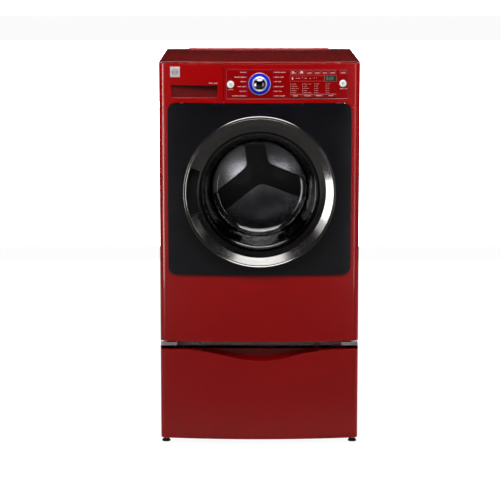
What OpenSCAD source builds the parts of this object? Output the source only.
// Front-loading washing machine on its storage pedestal, 27 inch class.
// Frame: +Z up, the front faces -Y, origin on the floor under the middle of the bounding box.

/* [Body] */
// Width of the cabinet and of the pedestal
body_w = 686; // [684:1:688]
// Depth over everything, from the door rim to the water ports
overall_d = 760; // [758:1:762]
// Height of the pedestal's top deck above the floor
pedestal_h = 345; // [343:1:347]
// Height of the washer on its own feet, with the ridge on its top plate
washer_h = 991; // [989:1:993]
// How far the front bows out between its side edges
front_bow = 27; // [25:1:29]
// Sheet metal thickness
sheet_t = 1.0; // [0.8:0.1:1.2]

/* [Door] */
// Height of the door, drum and tub axis above the floor
axis_z = 892; // [890:1:894]
// Outer radius of the door ring
ring_r = 260; // [259:0.5:261]
// Radius of the glass opening inside the ring
glass_r = 207; // [206:0.5:208]
// How far the door rim stands in front of the bowed panels
door_proud = 35; // [35:0.5:36]

/* [Drum] */
// Inside radius of the drum
drum_r = 278; // [276:1:278]
// Inside depth of the drum
drum_depth = 400; // [396:1:400]
// Radius of the drum's mouth
mouth_r = 172; // [170:1:174]
// Rows of drain holes along the drum
hole_rows = 5; // [3:1:6]
// Drain holes around each row
holes_round = 20; // [12:2:24]

/* [Controls] */
// Radius of the cycle selector knob
knob_r = 25.5; // [24:0.1:25.5]
// Radius of the power and start buttons
button_r = 11.8; // [11:0.1:12]

/* [Hidden] */
$fn = 72;
eps = 0.5;             // overlap that makes a cut pass cleanly through a face
half_w = body_w / 2;
y_rim = -overall_d / 2;
y_apex = y_rim + door_proud;           // the front panels at mid width
y_back = overall_d / 2 - 25;           // outside of the cabinet's back sheet
bow_r = (half_w * half_w + front_bow * front_bow) / (2 * front_bow);
edge_r = 20;                           // rounding of the front's vertical edges
y_front_back = y_apex + 55;            // where the front panels meet the cabinet sides
y_inside_back = y_back - sheet_t;      // inside face of the back sheet

z_ped = pedestal_h;
z_body = z_ped + 21;                   // bottom edge of the washer's cabinet
z_top = z_ped + washer_h;
z_panel_low = 1178;                    // seam between front cover and control panel
z_panel_top = z_top - 10;
z_deck = z_top - 4;                    // flat of the top plate, under its rear ridge

// Black surround of the door, seen from the front
sur_w = 626;
sur_low = 602;
sur_high = 1191;
sur_r = 28;
sur_proud = 6;
sur_gap = 2;

// Dispenser drawer and its front
drawer_seam_x = -122;
seam_gap = 0.75;
grip_x = [-300, -142];
grip_z = [1210, 1253];
tray_x = [-326, -136];
tray_y = [-313.5, -26];
tray_z = [1212, 1292];
tray_travel = 220;

// Controls, seen from the front
dial_z = 1259;
dial_ring_r = 37.5;
power_at = [-98, 1257];
start_at = [283, 1259];
key_at = [[122, 1218], [162, 1218], [202, 1218], [242, 1218]];
key_size = [36, 12];
overlay_x = [-114, 305];
overlay_z = [1205, 1310];

// Door hinge and latch
pin_x = 244;
pin_y = y_rim + 17;
pin_r = 4;
pin_half = 46;
latch_x = -219;
latch_z = axis_z - 98;
latch_y = y_rim + 22;
grip_half = 20;                        // half angle of the door's grip pocket

// Tub and drum stations along Y
tub_r = 293;
tub_t = 4;
tub_y0 = -214;
tub_split = -20;
tub_y1 = 240;
drum_t = 1;
drum_y0 = -196;
drum_y1 = drum_y0 + drum_depth;
shaft_r = 17.5;
bounce = 8;

// Suspension
spring_x = 285;
spring_y = [12, 130];
spring_low = 1075;
spring_high = 1300;
damper_x = 235;
damper_y = [-120, 120];

// Drain pump
pump_x = 180;
pump_z = 432;
spigot = [120, -180];

// Rear connections
port_r = 13.3;
hot_at = [-250, 1270];
cold_at = [-195, 1270];
outlet_at = [310, 1120];
outlet_r = 14;
gland_at = [240, 1262];
cover_x = 280;
cover_z = [520, 1238];

// Pedestal
drawer_low = 20;
drawer_high = 335;
scoop_half = 240;
scoop_dip = 38;
bin_x = 312;
ped_foot_x = 326;
washer_foot_x = 305;

// ---------- helpers ----------

// Y of a surface bowed across the front, whose mid width lies at y = apex
function bow(x, apex) = apex + bow_r - sqrt(bow_r * bow_r - x * x);

function arc(cx, cy, r, a0, a1, n) =
    [for (i = [0:n]) let (a = a0 + (a1 - a0) * i / n) [cx + r * cos(a), cy + r * sin(a)]];

// One end of a bowed front line: a rounded corner, or a sharp one if r is 0
function front_end(x, side, r, apex) =
    r == 0 ? [[x, bow(x, apex)]]
    : let (cx = x - side * r, cy = bow(cx, apex) + r)
      side < 0 ? arc(cx, cy, r, 180, 270, 6) : arc(cx, cy, r, 270, 360, 6);

function front_line(x0, x1, apex, r0, r1) =
    let (n = max(2, ceil((x1 - x0) / 24)), a = x0 + r0, b = x1 - r1)
    concat(front_end(x0, -1, r0, apex),
        [for (i = [1:n - 1]) let (x = a + (b - a) * i / n) [x, bow(x, apex)]],
        front_end(x1, 1, r1, apex));

// A block with a bowed front, from x0 to x1 and z0 to z1, back to y1
module front_block(x0, x1, z0, z1, apex, y1, r0 = 0, r1 = 0)
    translate([0, 0, z0])
    linear_extrude(z1 - z0)
    polygon(concat(front_line(x0, x1, apex, r0, r1), [[x1, y1], [x0, y1]]));

// Children are outlines seen from the front (X across, Z up), given depth from y0 to y1
module depth(y0, y1) translate([0, y1, 0]) rotate([90, 0, 0]) linear_extrude(y1 - y0) children();

module box(lo, hi) translate(lo) cube([hi.x - lo.x, hi.y - lo.y, hi.z - lo.z]);

module round_rect(x0, x1, z0, z1, r) {
    translate([x0 + r, z0]) square([x1 - x0 - 2 * r, z1 - z0]);
    translate([x0, z0 + r]) square([x1 - x0, z1 - z0 - 2 * r]);
    for (x = [x0 + r, x1 - r], z = [z0 + r, z1 - r]) translate([x, z]) circle(r);
}

// A profile of [radius, y] points turned about the drum's axis, or one beside it
module turned(points, x = 0, z = axis_z)
    translate([x, 0, z]) rotate([-90, 0, 0]) rotate_extrude($fn = 144) polygon(points);

// A cylinder along Y
module rod_y(x, z, r, y0, y1) translate([x, y1, z]) rotate([90, 0, 0]) cylinder(h = y1 - y0, r = r);

// A ring along Y
module ring_y(x, z, r_in, r_out, y0, y1) difference() {
    rod_y(x, z, r_out, y0, y1);
    rod_y(x, z, r_in, y0 - eps, y1 + eps);
}

module rod_between(a, b, r) {
    d = b - a;
    translate(a) rotate([0, acos(d.z / norm(d)), atan2(d.y, d.x)]) cylinder(h = norm(d), r = r);
}

function unit(v) = v / norm(v);

// A tube's ring section swept round the corner at p, from direction u to direction v
module elbow(p, u, v, bend, r, wall) {
    turn = acos(u * v);
    m = unit(v - u * (u * v));
    c = p - u * bend * tan(turn / 2) + m * bend;
    n = cross(-m, u);
    multmatrix([[-m.x, u.x, n.x, c.x], [-m.y, u.y, n.y, c.y], [-m.z, u.z, n.z, c.z], [0, 0, 0, 1]])
    rotate_extrude(angle = turn) translate([bend, 0]) difference() {
        circle(r);
        circle(r - wall);
    }
}

module tube_between(a, b, r, wall) {
    d = b - a;
    translate(a) rotate([0, acos(d.z / norm(d)), atan2(d.y, d.x)]) difference() {
        cylinder(h = norm(d), r = r);
        translate([0, 0, -1]) cylinder(h = norm(d) + 2, r = r - wall);
    }
}

// A hose of straight runs joined by bends at the inner points
module hose(points, bend, r, wall) {
    last = len(points) - 1;
    dirs = [for (i = [0:last - 1]) unit(points[i + 1] - points[i])];
    trim = [for (i = [0:last]) i == 0 || i == last ? 0
        : bend * tan(acos(dirs[i - 1] * dirs[i]) / 2)];
    for (i = [0:last - 1])
        tube_between(points[i] + dirs[i] * trim[i], points[i + 1] - dirs[i] * trim[i + 1], r, wall);
    for (i = [1:last - 1]) elbow(points[i], dirs[i - 1], dirs[i], bend, r, wall);
}

// A corrugated sleeve along Z with n folds
module bellows_z(x, y, z0, z1, r_in, r_out, n) {
    pitch = (z1 - z0) / n;
    translate([x, y, 0]) rotate_extrude() polygon(concat(
        [[r_in - 2, z0]],
        [for (i = [0:n - 1], s = [[0, r_in], [0.5, r_out]]) [s[1], z0 + (i + s[0]) * pitch]],
        [[r_in, z1], [r_in - 2, z1]]));
}

// Front outline of the door surround, grown by g
module surround_outline(g)
    round_rect(-sur_w / 2 - g, sur_w / 2 + g, sur_low - g, sur_high + g, sur_r + g);

// ---------- cabinet ----------

module cabinet_shell() color("firebrick") {
    difference() {
        box([-half_w + 1, y_front_back, z_body], [half_w - 1, y_back, z_deck - 14]);
        box([-half_w + 1 + sheet_t, y_front_back - eps, z_body - eps],
            [half_w - 1 - sheet_t, y_inside_back, z_deck]);
        depth(y_inside_back - eps, y_back + eps)
            round_rect(-cover_x + 20, cover_x - 20, cover_z[0] + 20, cover_z[1] - 20, 30);
        for (p = [hot_at, cold_at]) rod_y(p.x, p.y, port_r + 1, y_inside_back - eps, y_back + eps);
        rod_y(outlet_at.x, outlet_at.y, outlet_r + 1.5, y_inside_back - eps, y_back + eps);
        rod_y(gland_at.x, gland_at.y, 12, y_inside_back - eps, y_back + eps);
    }
    for (s = [-1, 1], y = spring_y)
        box([s > 0 ? spring_x - 15 : -half_w + 1 + sheet_t, y - 15, spring_high],
            [s > 0 ? half_w - 1 - sheet_t : -spring_x + 15, y + 15, spring_high + 3]);
}

module rear_cover() color("firebrick") difference() {
    union() {
        box([-cover_x, y_back, cover_z[0]], [cover_x, y_back + sheet_t, cover_z[1]]);
        rod_y(0, axis_z, 190, y_back, y_back + 9);
        for (s = [-1, 1], t = [-1, 1])
            rod_y(s * 215, axis_z + t * 270, 30, y_back, y_back + 6);
    }
    rod_y(0, axis_z, 188, y_back - eps, y_back + 9 - sheet_t);
    for (s = [-1, 1], t = [-1, 1])
        rod_y(s * 215, axis_z + t * 270, 28, y_back - eps, y_back + 6 - sheet_t);
}

module rear_screws() color("silver")
    for (x = [-cover_x + 10, 0, cover_x - 10], z = [cover_z[0] + 10, cover_z[1] - 10])
        rod_y(x, z, 5, y_back + sheet_t, y_back + sheet_t + 3);

module top_plate() color("darkred") {
    difference() {
        union() {
            front_block(-half_w + 1, half_w - 1, z_deck - 3, z_deck, y_apex + 4, y_back + 2, 16, 16);
            box([-half_w, y_front_back + 4, z_deck - 14], [half_w, y_back + 2, z_deck - 2]);
        }
        box([-half_w + sheet_t, y_front_back, z_deck - 15], [half_w - sheet_t, y_back + 0.5, z_deck - 3]);
    }
    box([-262, y_back - 25, z_deck], [262, y_back - 8, z_top]);
}

module base_pan() color("silver") difference() {
    union() {
        box([-half_w + 4, y_front_back + 2, z_body], [half_w - 4, y_inside_back - 1, z_body + 3]);
        for (s = [-1, 1], y = damper_y)
            box([s * damper_x - 18, y - 18, z_body + 3], [s * damper_x + 18, y + 18, z_body + 14]);
        for (x = [-half_w + 4, half_w - 6])
            box([x, y_front_back + 2, z_body + 3], [x + 2, y_inside_back - 1, z_body + 25]);
    }
    for (s = [-1, 1], y = [-270, 310])
        translate([s * washer_foot_x, y, z_body - eps]) cylinder(h = 5, r = 5);
}

// ---------- front ----------

module front_cover() color("firebrick") difference() {
    intersection() {
        front_block(-half_w, half_w, z_body, sur_high, y_apex, y_front_back, edge_r, edge_r);
        depth(y_apex - 5, y_front_back + 5) {
            translate([-half_w - 1, z_body]) square([body_w + 2, z_panel_low - 1.5 - z_body]);
            round_rect(-305, 305, z_panel_low - 40, sur_high - 3, 24);
        }
    }
    front_block(-half_w + sheet_t, half_w - sheet_t, z_body + sheet_t, sur_high + 5, y_apex + sheet_t,
        y_front_back + eps, edge_r - sheet_t, edge_r - sheet_t);
    rod_y(0, axis_z, 215, y_apex - eps, y_front_back + eps);
    box([latch_x - 9, y_apex - 5, latch_z - 18], [latch_x + 9, y_front_back, latch_z + 21]);
    hinge_slots();
}

module door_surround() color("black") difference() {
    union() {
        intersection() {
            front_block(-sur_w / 2, sur_w / 2, sur_low, sur_high, y_apex - sur_proud, y_front_back);
            depth(y_apex - 20, y_front_back + 5) surround_outline(0);
        }
        rod_y(0, axis_z, 228, y_apex - sur_proud, y_front_back);
    }
    front_block(-half_w, half_w, sur_low - 5, sur_high + 5, y_apex - 0.3, y_front_back + eps);
    rod_y(0, axis_z, 217, y_apex - 20, y_front_back + eps);
    box([latch_x - 9, y_apex - 20, latch_z - 18], [latch_x + 9, y_front_back, latch_z + 21]);
    hinge_slots();
    grip_sector(190, 240, grip_half + 4, y_apex - sur_proud - 1, y_apex + 2.5);
}

// Slots that let the two hinge arms through
module hinge_slots() for (s = [-1, 1])
    box([219, y_apex - 20, axis_z + s * 36 - 7], [240, y_front_back - 1, axis_z + s * 36 + 7]);

module control_panel() color("firebrick") {
    difference() {
        front_block(drawer_seam_x + seam_gap, half_w, z_panel_low, z_panel_top, y_apex,
            y_front_back, 0, edge_r);
        front_block(drawer_seam_x + seam_gap + 2, half_w - 2, z_panel_low - 1, z_panel_top - 2,
            y_apex + 2, y_front_back + eps, 0, edge_r - 2);
        depth(y_apex - 5, y_front_back + eps) surround_outline(sur_gap);
        rod_y(0, dial_z, 7, y_apex - eps, y_apex + 5);
        for (p = [power_at, start_at]) rod_y(p.x, p.y, button_r + 0.4, y_apex - eps, y_front_back);
        for (p = key_at)
            box([p.x - key_size.x / 2 - 0.4, y_apex - eps, p.y - key_size.y / 2 - 0.4],
                [p.x + key_size.x / 2 + 0.4, y_front_back, p.y + key_size.y / 2 + 0.4]);
    }
    // Frame behind the drawer front, with the aperture for the tray
    difference() {
        box([-half_w + 2, y_front_back - 3, 1194], [drawer_seam_x + seam_gap, y_front_back, z_panel_top]);
        box([tray_x[0] - 3, y_front_back - 4, tray_z[0] - 3],
            [tray_x[1] + 3, y_front_back + 1, tray_z[1] + 3]);
    }
}

module panel_overlay() color("darkred") difference() {
    intersection() {
        front_block(overlay_x[0], overlay_x[1], overlay_z[0], overlay_z[1], y_apex - 1, y_front_back);
        depth(y_apex - 5, y_front_back)
            round_rect(overlay_x[0], overlay_x[1], overlay_z[0], overlay_z[1], 6);
    }
    front_block(overlay_x[0] - 5, overlay_x[1] + 5, overlay_z[0] - 1, overlay_z[1] + 1, y_apex - 0.3,
        y_front_back + eps);
    rod_y(0, dial_z, dial_ring_r + 0.3, y_apex - 5, y_apex + 5);
    for (p = [power_at, start_at]) rod_y(p.x, p.y, button_r + 0.4, y_apex - 5, y_front_back);
    for (p = key_at)
        box([p.x - key_size.x / 2 - 0.4, y_apex - 5, p.y - key_size.y / 2 - 0.4],
            [p.x + key_size.x / 2 + 0.4, y_front_back, p.y + key_size.y / 2 + 0.4]);
}

module dial_ring() color("royalblue")
    ring_y(0, dial_z, knob_r + 0.5, dial_ring_r, y_apex - 6, y_apex - 0.1);

module control_board() color("seagreen") {
    box([-105, y_front_back - 6, 1196], [305, y_front_back - 3, 1312]);
    box([215, y_front_back - 14, 1266], [265, y_front_back - 6, 1290]);
    difference() {
        rod_y(0, dial_z, 9, y_apex + 20, y_front_back - 6);
        rod_y(0, dial_z, 3.06, y_apex + 15, y_front_back - 16);
    }
}

module dispenser_housing() color("whitesmoke") {
    difference() {
        box([tray_x[0] - 6, y_front_back + 1, tray_z[0] - 8],
            [tray_x[1] + 6, tray_y[1] + 8, tray_z[1] + 8]);
        box([tray_x[0] - 4, y_front_back - 1, tray_z[0] - 4],
            [tray_x[1] + 4, tray_y[1] + 5, tray_z[1] + 5]);
        translate([-230, -60, tray_z[0] - 10]) cylinder(h = 8, r = 15);
    }
    difference() {
        translate([-230, -60, 1180]) cylinder(h = tray_z[0] - 6 - 1180, r = 17.5);
        translate([-230, -60, 1179]) cylinder(h = 40, r = 15);
    }
}

module inlet_valves() for (p = [hot_at, cold_at]) {
    color(p == hot_at ? "firebrick" : "royalblue") difference() {
        union() {
            rod_y(p.x, p.y, port_r, y_back, overall_d / 2);
            rod_y(p.x, p.y, port_r + 0.8, y_inside_back - 6, y_back);
            rod_y(p.x, p.y, 20, y_inside_back - 10, y_inside_back - 0.1);
        }
        rod_y(p.x, p.y, 10, y_back - 4, overall_d / 2 + eps);
    }
    color("whitesmoke") {
        box([p.x - 15, y_back - 50, p.y - 15], [p.x + 15, y_inside_back - 10, p.y + 15]);
        translate([p.x, y_back - 32, p.y - 38]) cylinder(h = 23, r = 12);
    }
}

module fill_hoses() color("dimgray") for (p = [hot_at, cold_at])
    tube_between([p.x, tray_y[1] + 8.2, p.y], [p.x, y_back - 50.2, p.y], 8, 2);

module door_lock() color("black") difference() {
    box([latch_x - 14, y_apex + 17, latch_z - 27], [latch_x + 10, y_apex + 50, latch_z + 22]);
    box([latch_x - 7, y_apex + 16, latch_z - 16], [latch_x + 7, y_apex + 42, latch_z + 18.5]);
}

// The fixed leaf: a plate behind the front cover, two bent arms and the pin
module hinge_bracket() color("silver") {
    box([224, y_apex + 16.5, axis_z - 60], [244, y_apex + 20, axis_z + 60]);
    for (s = [-1, 1]) translate([0, 0, axis_z + s * 36 - 4]) linear_extrude(8)
        polygon([[224, y_apex + 18], [224, y_apex - 1], [pin_x - 3, pin_y - 5], [pin_x + 5, pin_y - 3],
            [pin_x + 5, pin_y + 4], [231, y_apex], [231, y_apex + 18]]);
    translate([pin_x, pin_y, axis_z - pin_half]) cylinder(h = 2 * pin_half, r = pin_r);
}

module gasket() color("gray") turned([
    [200, -331], [222, -331], [222, -327], [206, -327], [206, -300], [222, -290], [222, -280],
    [206, -270], [206, -250], [193, -240], [193, -218], [187.5, -218], [187.5, -243],
    [202.5, -253], [202.5, -272], [218, -282], [218, -288], [202.5, -298], [202.5, -324],
    [200, -327]]);

// ---------- suspension, pump and hoses ----------

module tub_springs() color("silver") for (s = [-1, 1], y = spring_y) difference() {
    bellows_z(s * spring_x, y, spring_low, spring_high, 9, 12, 18);
    translate([s * spring_x, y, spring_low - 1]) cylinder(h = spring_high - spring_low + 2, r = 6);
}

module damper_cylinders() color("dimgray") for (s = [-1, 1], y = damper_y)
    translate([s * damper_x, y, z_body + 14]) difference() {
        cylinder(h = 160, r = 15);
        translate([0, 0, 12]) cylinder(h = 150, r = 11);
    }

module damper_rods() color("silver") for (s = [-1, 1], y = damper_y) {
    translate([s * damper_x, y, z_body + 60]) cylinder(h = 700 - z_body - 60, r = 8);
    translate([s * damper_x, y, z_body + 60]) cylinder(h = 14, r = 10.8);
}

module drain_pump() color("dimgray") {
    difference() {
        union() {
            rod_y(pump_x, pump_z, 38, -252, -186);
            rod_y(pump_x, pump_z, 30, -284, -252);
            rod_y(pump_x, pump_z, 32, -186, -120);
            translate([pump_x, -220, pump_z + 20]) cylinder(h = 38, r = 11);
            rod_between([spigot.x, spigot.y, 465], [spigot.x, spigot.y, pump_z], 22);
            rod_between([spigot.x - 1, spigot.y - 24, pump_z], [pump_x, spigot.y - 24, pump_z], 20);
            translate([spigot.x, spigot.y - 24, pump_z]) sphere(22);
            rod_between([spigot.x, spigot.y, pump_z], [spigot.x, spigot.y - 24, pump_z], 22);
            box([pump_x - 30, -240, z_body + 3], [pump_x + 30, -130, pump_z - 25]);
        }
        rod_y(pump_x, pump_z, 34, -248, -190);
        rod_y(pump_x, pump_z, 26, -280, -247);
        rod_y(pump_x, pump_z, 3.05, -192, -170);
        translate([pump_x, -220, pump_z + 20]) cylinder(h = 39, r = 9);
        rod_between([spigot.x, spigot.y, 466], [spigot.x, spigot.y, pump_z], 18);
        rod_between([spigot.x, spigot.y - 24, pump_z], [pump_x - 25, spigot.y - 24, pump_z], 16);
        rod_between([spigot.x, spigot.y, pump_z], [spigot.x, spigot.y - 24, pump_z], 18);
    }
    color("black") rod_y(pump_x, pump_z, 27, -296, -284);
}

module pump_impeller() color("whitesmoke") {
    rod_y(pump_x, pump_z, 8, -220, -194);
    rod_y(pump_x, pump_z, 3, -194, -172);
    for (a = [0:45:135])
        translate([pump_x, -207, pump_z]) rotate([0, a, 0]) cube([56, 22, 3], center = true);
}

module drain_hose() color("dimgray") {
    hose([[pump_x, -220, pump_z + 58.2], [pump_x, -220, 530], [outlet_at.x, -220, 530],
        [outlet_at.x, 315, 530], [outlet_at.x, 315, outlet_at.y],
        [outlet_at.x, y_inside_back - 4, outlet_at.y]], 26, 12.5, 3);
    difference() {
        union() {
            rod_y(outlet_at.x, outlet_at.y, outlet_r, y_back, overall_d / 2);
            rod_y(outlet_at.x, outlet_at.y, outlet_r + 1, y_inside_back - 4, y_back);
        }
        rod_y(outlet_at.x, outlet_at.y, 9.5, y_inside_back - 5, overall_d / 2 + eps);
    }
}

module tub_hoses() color("dimgray") {
    difference() {
        bellows_z(spigot.x, spigot.y, 465.2, 590, 22, 26, 8);
        translate([spigot.x, spigot.y, 460]) cylinder(h = 140, r = 18);
    }
    difference() {
        bellows_z(-230, -60, 1135, 1179.8, 16, 20, 3);
        translate([-230, -60, 1130]) cylinder(h = 60, r = 13);
    }
}

// ---------- feet, brackets and gland ----------

// A levelling foot: pad, lock nut and threaded stem, standing at z0 and reaching z1
module foot(x, y, z0, z1, r, stem) translate([x, y, 0]) {
    color("dimgray") translate([0, 0, z0]) cylinder(h = 9, r = r);
    color("silver") {
        translate([0, 0, z0 + 9]) cylinder(h = z1 - z0 - 9, r = 9, $fn = 6);
        translate([0, 0, z1]) cylinder(h = stem, r = 4.9);
    }
}

module washer_feet() for (s = [-1, 1], y = [-270, 310])
    foot(s * washer_foot_x, y, z_ped + (y < 0 ? 2 : 0), z_body, 19, 20);

module pedestal_feet() for (s = [-1, 1], y = [-285, 320]) foot(s * ped_foot_x, y, 0, 18, 15, 12);

module foot_brackets() color("gainsboro") for (s = [-1, 1]) mirror([s < 0 ? 1 : 0, 0, 0]) {
    box([286, -302, z_ped], [half_w - 1, -240, z_ped + 2]);
    box([286, -302, z_ped + 2], [half_w - 1, -300, z_ped + 12]);
    box([half_w - 3, -300, z_ped + 2], [half_w - 1, -240, z_ped + 12]);
}

module cord_gland() color("black") difference() {
    union() {
        rod_y(gland_at.x, gland_at.y, 11.8, y_inside_back - 6, y_back);
        rod_y(gland_at.x, gland_at.y, 15, y_back, y_back + 5);
        rod_y(gland_at.x, gland_at.y, 9, y_back + 5, y_back + 16);
    }
    rod_y(gland_at.x, gland_at.y, 4.5, y_inside_back - 7, y_back + 17);
}

// ---------- pedestal ----------

module pedestal_shell() color("firebrick") difference() {
    box([-half_w, y_front_back - 8, 18], [half_w, 345, z_ped]);
    box([-half_w + sheet_t, y_front_back - 9, 18 + sheet_t],
        [half_w - sheet_t, 345 - sheet_t, z_ped - sheet_t]);
    for (s = [-1, 1], y = [-285, 320])
        translate([s * ped_foot_x, y, 17]) cylinder(h = 4, r = 5);
}

// Height of the drawer front's top edge, with the scoop for the hand
function scoop(x) = abs(x) >= scoop_half ? drawer_high
    : drawer_high - scoop_dip * (1 + cos(180 * x / scoop_half)) / 2;

module drawer_front() color("firebrick") {
    // Front skin with the scooped edge
    difference() {
        front_block(-half_w, half_w, drawer_low, drawer_high, y_apex, y_front_back - 9, edge_r, edge_r);
        front_block(-half_w + 2, half_w - 2, drawer_low + 2, drawer_high - 2, y_apex + 2,
            y_front_back - 11, edge_r - 2, edge_r - 2);
        depth(y_apex - 5, y_apex + 42) polygon(concat(
            [for (i = [-16:16]) let (x = i * scoop_half / 16) [x, scoop(x)]],
            [[scoop_half, drawer_high + 5], [-scoop_half, drawer_high + 5]]));
    }
    // Hand pocket behind the scoop: floor and end walls, closed by the back wall
    intersection() {
        box([-scoop_half - 2, y_apex, 270], [scoop_half + 2, y_front_back - 11, 273]);
        front_block(-half_w, half_w, drawer_low, drawer_high, y_apex + 1, y_front_back - 9);
    }
    for (s = [-1, 1])
        box([s * (scoop_half + 1) - 1, y_apex + 15, 273],
            [s * (scoop_half + 1) + 1, y_front_back - 11, drawer_high - 2]);
}

module drawer_bin() color("gainsboro") difference() {
    box([-bin_x, y_front_back - 8.9, 34], [bin_x, 250, 262]);
    box([-bin_x + sheet_t, y_front_back - 8.9 + sheet_t, 34 + sheet_t],
        [bin_x - sheet_t, 250 - sheet_t, 263]);
}

module drawer_runners() color("silver") for (s = [-1, 1]) mirror([s < 0 ? 1 : 0, 0, 0]) difference() {
    box([326, -285, 130], [half_w - sheet_t, 260, 172]);
    box([325, -286, 133], [337, 261, 169]);
}

module drawer_slides() color("silver") for (s = [-1, 1]) mirror([s < 0 ? 1 : 0, 0, 0]) {
    box([bin_x, -280, 142], [328, 250, 160]);
    box([328, -280, 136], [334, 250, 166]);
}

// ---------- tub ----------

module tub_front() color("whitesmoke") {
    turned([[181, tub_y0 - 26], [186.5, tub_y0 - 26], [186.5, tub_y0], [tub_r + tub_t, tub_y0],
        [tub_r + tub_t, tub_split - 6], [308, tub_split - 6], [308, tub_split], [tub_r, tub_split],
        [tub_r, tub_y0 + tub_t], [181, tub_y0 + tub_t]]);
    for (s = [-1, 1]) damper_ear(s, damper_y[0]);
    difference() {
        translate([spigot.x, spigot.y, 590]) cylinder(h = 45, r = 21);
        translate([spigot.x, spigot.y, 589]) cylinder(h = 60, r = 17);
        rod_y(0, axis_z, tub_r + 1, tub_y0, 0);
    }
    difference() {
        translate([-230, -60, 1078]) cylinder(h = 57, r = 15);
        translate([-230, -60, 1070]) cylinder(h = 70, r = 12);
        rod_y(0, axis_z, tub_r + 1, tub_y0, 0);
    }
}

// Arm that a suspension spring hooks into
module tub_ear(s, y) difference() {
    box([s > 0 ? 225 : -spring_x - 12, y - 10, spring_low - 14],
        [s > 0 ? spring_x + 12 : -225, y + 10, spring_low]);
    rod_y(0, axis_z, tub_r + 1, y - 20, y + 20);
}

// Lug that a damper rod stands against
module damper_ear(s, y) difference() {
    box([s * damper_x - 12, y - 12, 700], [s * damper_x + 12, y + 12, 735]);
    rod_y(0, axis_z, tub_r + 1, y - 20, y + 20);
}

module tub_rear() color("whitesmoke") {
    difference() {
        turned([[36, 218], [58, 218], [58, 236], [tub_r, 236], [tub_r, tub_split + 0.4],
            [308, tub_split + 0.4], [308, tub_split + 6.4], [tub_r + tub_t, tub_split + 6.4],
            [tub_r + tub_t, tub_y1], [62, tub_y1], [62, 244], [60, 275], [36, 275]]);
        for (s = [-1, 1]) rod_y(s * 14, axis_z - 286.5, 4.2, 230, 245);
    }
    for (a = [15:30:345]) translate([0, 0, axis_z]) rotate([0, a, 0])
        box([156, tub_y1 - 1, -3], [tub_r + tub_t - 1, tub_y1 + 12, 3]);
    for (s = [-1, 1], y = spring_y) tub_ear(s, y);
    for (s = [-1, 1]) damper_ear(s, damper_y[1]);
}

module weight_arc(a0, a1) intersection() {
    turned([[212, tub_y0 - 42], [285, tub_y0 - 42], [285, tub_y0 - 2], [212, tub_y0 - 2]]);
    depth(tub_y0 - 60, tub_y0) translate([0, axis_z])
        polygon(concat([[0, 0]], arc(0, 0, 340, a0, a1, 8)));
}

module counterweights() color("darkgray") {
    weight_arc(25, 155);
    weight_arc(205, 335);
}

module bearing(y0, y1, r_out) ring_y(0, axis_z, shaft_r + 0.06, r_out, y0, y1);

module tub_bearings() color("silver") {
    bearing(222, 240, 36);
    bearing(255, 272, 36);
}

module stator() color("peru") {
    ring_y(0, axis_z, 84, 100, 246, 288);
    ring_y(0, axis_z, 61.5, 85, 254, 258);
    for (a = [0:10:350]) translate([0, 0, axis_z]) rotate([0, a, 0])
        box([99, 248, -5], [143, 286, 5]);
}

module heating_element() color("silver") {
    for (s = [-1, 1]) rod_y(s * 14, axis_z - 286.5, 3.6, -60, 248);
    rod_between([-14, -60, axis_z - 286.5], [14, -60, axis_z - 286.5], 3.6);
    box([-26, 242, axis_z - 292], [26, 252, axis_z - 278]);
}

// ---------- drum ----------

module drum_shell() color("silver") difference() {
    turned([[mouth_r, drum_y0 - 8], [mouth_r + 3, drum_y0 - 10], [mouth_r + 6, drum_y0 - 2],
        [drum_r - 18, drum_y0 - 2], [drum_r + drum_t, drum_y0 + 14], [drum_r + drum_t, drum_y1 + drum_t],
        [0, drum_y1 + drum_t], [0, drum_y1], [drum_r, drum_y1], [drum_r, drum_y0 + 15],
        [drum_r - 19, drum_y0], [mouth_r + 5, drum_y0], [mouth_r, drum_y0 - 5]]);
    for (i = [0:hole_rows - 1], j = [0:holes_round - 1])
        translate([0, drum_y0 + 50 + i * (drum_depth - 90) / (hole_rows - 1), axis_z])
        rotate([0, (j + 0.5 + (i % 2) / 2) * 360 / holes_round, 0])
        translate([0, 0, drum_r - 12]) cylinder(h = 30, r = 4);
}

// One lifter at the bottom of the drum, a hollow tapering fin
module lifter(t) translate([0, 0, axis_z])
    depth(drum_y0 + 40 + t, drum_y1 - 20 - t)
    polygon([[-38 + t * 1.3, -drum_r + 3.6 - t], [-12 + t / 2, -drum_r + 62 - t], [-4, -drum_r + 72 - t],
        [4, -drum_r + 72 - t], [12 - t / 2, -drum_r + 62 - t], [38 - t * 1.3, -drum_r + 3.6 - t]]);

module lifters() color("gainsboro") for (a = [60, 180, 300])
    translate([0, 0, axis_z]) rotate([0, a, 0]) translate([0, 0, -axis_z]) difference() {
        lifter(0);
        lifter(3);
    }

module drum_spider() color("darkgray") difference() {
    union() {
        rod_y(0, axis_z, 46, drum_y1 + drum_t + 0.2, 216);
        for (a = [0, 120, 240]) translate([0, 0, axis_z]) rotate([0, a, 0])
            box([-26, drum_y1 + drum_t + 0.2, -262], [26, drum_y1 + 10, 0]);
    }
    rod_y(0, axis_z, shaft_r, drum_y1 - 1, 217);
}

module drum_shaft() color("silver") {
    rod_y(0, axis_z, shaft_r, drum_y1 + drum_t + 0.2, 292.9);
    rod_y(0, axis_z, 10, 292.9, 312);
    translate([0, 310, axis_z]) rotate([90, 0, 0]) cylinder(h = 12, r = 17, $fn = 6);
}

module rotor() color("dimgray") difference() {
    turned([[10.05, 293], [142, 293], [146.5, 290], [146.5, 250], [152, 250], [152, 297.9], [10.05, 297.9]]);
    for (a = [0:45:315]) translate([0, 0, axis_z]) rotate([0, a, 0]) translate([85, 0, 0])
        rod_y(0, 0, 16, 290, 300);
}

// ---------- door ----------

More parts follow.
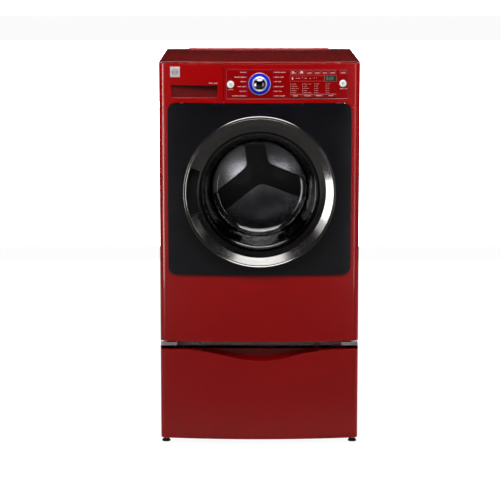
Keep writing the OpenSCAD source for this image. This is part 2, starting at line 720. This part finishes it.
// A sector prism over the grip pocket, at nine o'clock, between two radii
module grip_sector(r0, r1, half, y0, y1) intersection() {
    ring_y(0, axis_z, r0, r1, y0, y1);
    depth(y0 - 1, y1 + 1) translate([0, axis_z])
        polygon(concat([[0, 0]], arc(0, 0, 340, 180 - half, 180 + half, 4)));
}

module door_ring() color("dimgray") difference() {
    turned([[ring_r, y_rim + 27], [ring_r, y_rim + 2], [ring_r - 2, y_rim], [ring_r - 5, y_rim],
        [ring_r - 7, y_rim + 3], [ring_r - 9, y_rim + 2.5], [227, y_rim + 14], [glass_r, y_rim + 18.5],
        [glass_r, y_rim + 20.5], [227.5, y_rim + 16.5], [ring_r - 8, y_rim + 5.2],
        [ring_r - 2.5, y_rim + 5.2], [ring_r - 2.5, y_rim + 27]]);
    grip_sector(212, 248, grip_half, y_rim - 5, y_rim + 24);
    box([240, y_rim + 12, axis_z - 50], [ring_r + 5, y_rim + 30, axis_z + 50]);
}

module door_glass() color("lightblue", 0.4) turned([
    [211.5, y_rim + 21], [194, y_rim + 21], [185.5, -346], [167.5, -263], [156, -243.5],
    [138, -236], [0, -234], [0, -230], [140, -232], [160, -240], [172, -262],
    [190, -345], [198, -356.3], [211.5, -356.3]]);

module door_back_frame() color("black") {
    difference() {
        turned([[201, -356], [ring_r - 2.8, -356], [ring_r - 2.8, y_rim + 27], [201, y_rim + 27]]);
        box([212, y_rim + 20, axis_z - 50], [ring_r, y_rim + 30, axis_z + 50]);
        box([latch_x - 5, y_rim + 20, latch_z - 16], [latch_x + 5, y_rim + 30, latch_z + 20]);
        grip_sector(212, 248, grip_half, y_rim + 20, y_rim + 30);
    }
    // Ears that carry the latch pin
    for (s = [-1, 1]) difference() {
        box([latch_x + s * 7 - 2, y_rim + 18.5, latch_z + 3],
            [latch_x + s * 7 + 2, y_rim + 24, latch_z + 13]);
        translate([latch_x, latch_y - 0.6, latch_z + 8]) rotate([0, 90, 0])
            cylinder(h = 24, r = 2.06, center = true);
    }
}

module grip_cup() color("black") difference() {
    grip_sector(212.3, 247.7, grip_half - 0.1, y_rim + 13.5, y_apex + 0.5);
    grip_sector(214.3, 245.7, grip_half - 0.7, y_rim - 8, y_apex - 1.5);
}

// The door's own leaf: a barrel on the pin and a plate screwed inside the ring
module hinge_leaf() color("silver") difference() {
    union() {
        translate([pin_x, pin_y, axis_z - 30]) cylinder(h = 60, r = 6.5);
        box([215, pin_y + 2.6, axis_z - 30], [pin_x, pin_y + 6.4, axis_z + 30]);
    }
    translate([pin_x, pin_y, axis_z - 31]) cylinder(h = 62, r = pin_r + 0.06);
}

module latch_hook() color("silver") {
    translate([latch_x - 2.5, 0, 0]) rotate([90, 0, 90]) linear_extrude(5)
        polygon([[y_rim + 19, latch_z - 2], [y_rim + 66, latch_z - 2], [y_rim + 68, latch_z - 6],
            [y_rim + 66, latch_z - 13], [y_rim + 72, latch_z - 13], [y_rim + 75, latch_z + 2],
            [y_rim + 70, latch_z + 8], [y_rim + 24, latch_z + 12], [y_rim + 19, latch_z + 12]]);
    translate([latch_x, latch_y - 0.6, latch_z + 8]) rotate([0, 90, 0])
        cylinder(h = 20, r = 2, center = true);
}

// ---------- dispenser drawer ----------

module dispenser_front() color("firebrick") difference() {
    union() {
        difference() {
            front_block(-half_w, drawer_seam_x - seam_gap, z_panel_low, z_panel_top, y_apex,
                y_front_back - 4, edge_r, 0);
            front_block(-half_w + 2.5, drawer_seam_x - seam_gap - 2.5, z_panel_low + 2, z_panel_top - 2.5,
                y_apex + 2.5, y_front_back + eps, edge_r - 2.5, 0);
        }
        intersection() {
            box([grip_x[0] - 2.5, y_apex + 3, grip_z[0] - 2.5],
                [grip_x[1] + 2.5, y_front_back - 24, grip_z[1] + 2.5]);
            front_block(-half_w, drawer_seam_x, z_panel_low, z_panel_top, y_apex + 1, y_front_back);
        }
    }
    box([grip_x[0], y_apex - 5, grip_z[0]], [grip_x[1], y_front_back - 26.5, grip_z[1]]);
    depth(y_apex - 5, y_front_back) surround_outline(sur_gap);
    box([-half_w - 1, y_apex + 32, z_panel_low - 1], [drawer_seam_x, y_front_back, 1193]);
}

module dispenser_tray() color("white") difference() {
    box([tray_x[0], tray_y[0], tray_z[0]], [tray_x[1], tray_y[1], tray_z[1]]);
    for (c = [[tray_x[0] + 2, -252], [-250, -198], [-196, tray_x[1] - 2]])
        box([c[0], tray_y[0] + 2, tray_z[0] + 2], [c[1], tray_y[1] - 2, tray_z[1] + 1]);
}

module badge() color("lightgray") difference() {
    front_block(-303, -270, 1280, 1315, y_apex - 2, y_front_back);
    front_block(-310, -260, 1279, 1316, y_apex - 0.1, y_front_back + 1);
}

// ---------- controls ----------

module selector_knob() color("silver") {
    turned([[0, y_apex - 21], [12, y_apex - 20.4], [knob_r - 3, y_apex - 18], [knob_r, y_apex - 15],
        [knob_r, y_apex - 3], [0, y_apex - 3]], 0, dial_z);
    rod_y(0, dial_z, 3, y_apex - 3, y_front_back - 18);
}

module push_button(p) color("white") {
    rod_y(p.x, p.y, button_r, bow(p.x, y_apex) - 5, bow(p.x, y_apex) + 12);
    rod_y(p.x, p.y, 3, bow(p.x, y_apex) + 12, y_front_back - 9);
}

module power_button() push_button(power_at);

module start_button() push_button(start_at);

module setting_key(i) color("darkred")
    box([key_at[i].x - key_size.x / 2, bow(key_at[i].x, y_apex) - 4.5, key_at[i].y - key_size.y / 2],
        [key_at[i].x + key_size.x / 2, bow(key_at[i].x, y_apex) + 14, key_at[i].y + key_size.y / 2]);

// ---------- choice of nodes ----------

cabinet_shell();
rear_cover();
rear_screws();
top_plate();
base_pan();
front_cover();
door_surround();
control_panel();
panel_overlay();
dial_ring();
control_board();
dispenser_housing();
inlet_valves();
fill_hoses();
door_lock();
hinge_bracket();
gasket();
tub_springs();
damper_cylinders();
drain_pump();
drain_hose();
tub_hoses();
washer_feet();
foot_brackets();
cord_gland();
pedestal_shell();
pedestal_feet();
drawer_runners();
tub_front();
tub_rear();
counterweights();
tub_bearings();
stator();
heating_element();
damper_rods();
drum_shell();
lifters();
drum_spider();
drum_shaft();
rotor();
door_ring();
door_glass();
door_back_frame();
grip_cup();
hinge_leaf();
latch_hook();
dispenser_front();
dispenser_tray();
badge();
selector_knob();
power_button();
start_button();
setting_key(0);  // setting_key_1
setting_key(1);  // setting_key_2
setting_key(2);  // setting_key_3
setting_key(3);  // setting_key_4
drawer_front();
drawer_bin();
drawer_slides();
pump_impeller();
